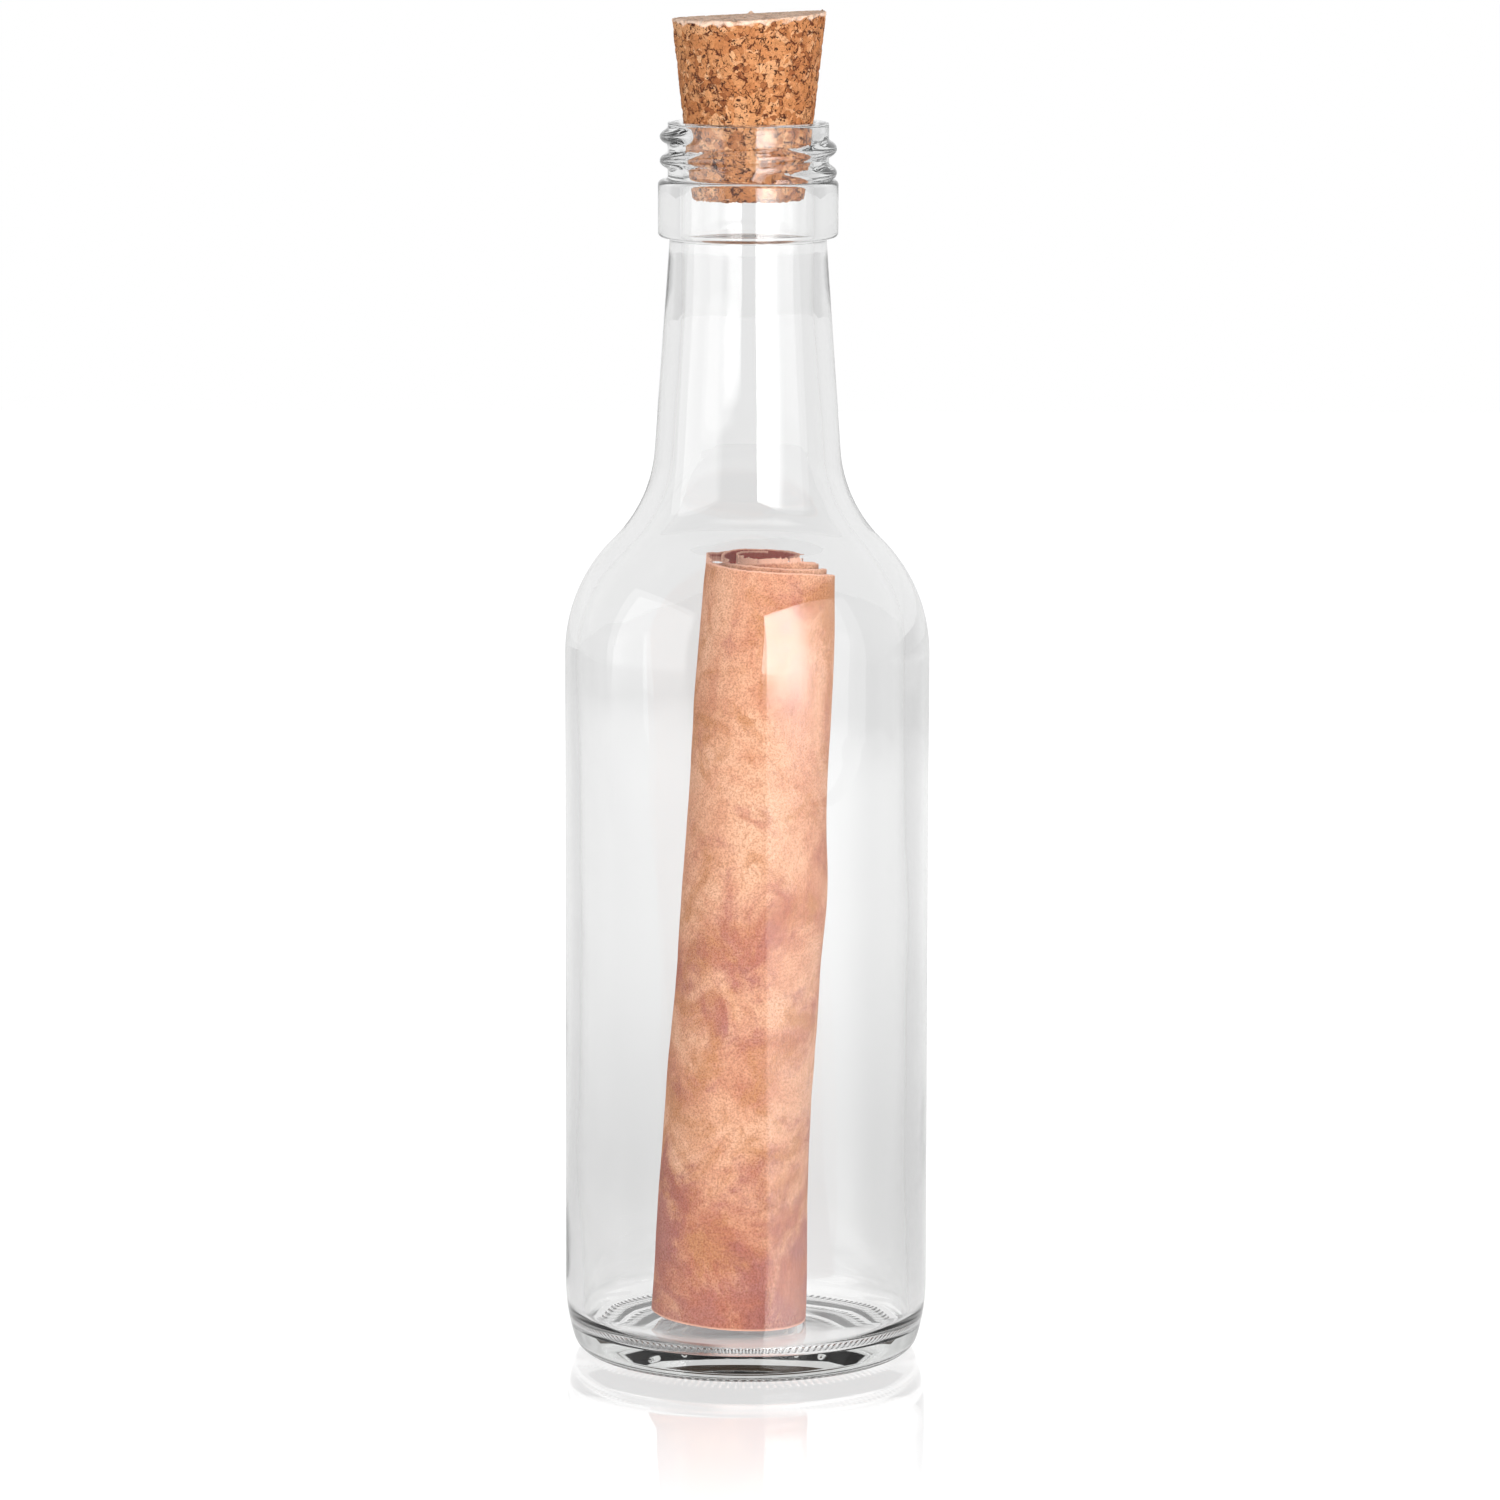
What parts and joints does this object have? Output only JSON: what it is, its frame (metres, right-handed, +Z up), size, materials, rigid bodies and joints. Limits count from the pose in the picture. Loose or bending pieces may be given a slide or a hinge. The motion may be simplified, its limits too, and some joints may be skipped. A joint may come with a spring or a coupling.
{
  "type": "message in a bottle",
  "caption": "Clear round glass bottle with a sloping shoulder and screw finish, a tapered cork in its mouth and a roll of aged paper standing inside.",
  "frame": {"origin": "centre of the ring that the bottle stands on", "axes": "+Z up the bottle's axis towards the cork, -Y to the front, +X to the right seen from the front"},
  "size_m": [0.0576, 0.0576, 0.213],
  "materials": {
    "clear_glass": "clear, fire-polished, faintly wavy",
    "agglomerated_cork": "matt cork granules with dark pits",
    "aged_paper": "matt, mottled and stained"
  },
  "bodies": {
    "bottle": {"glass_bottle": "clear_glass"},
    "cork": {"cork_stopper": "agglomerated_cork"},
    "roll": {"paper_scroll": "aged_paper"}
  },
  "joints": [
    {"name": "cork_pull", "type": "slide", "parent": "bottle", "child": "cork", "axis": [0, 0, 1], "range_m": [0, 0.045]},
    {"name": "roll_slide", "type": "slide", "parent": "bottle", "child": "roll", "axis": [-0.1738, -0.1931, 0.9657], "range_m": [0, 0.024]}
  ]
}
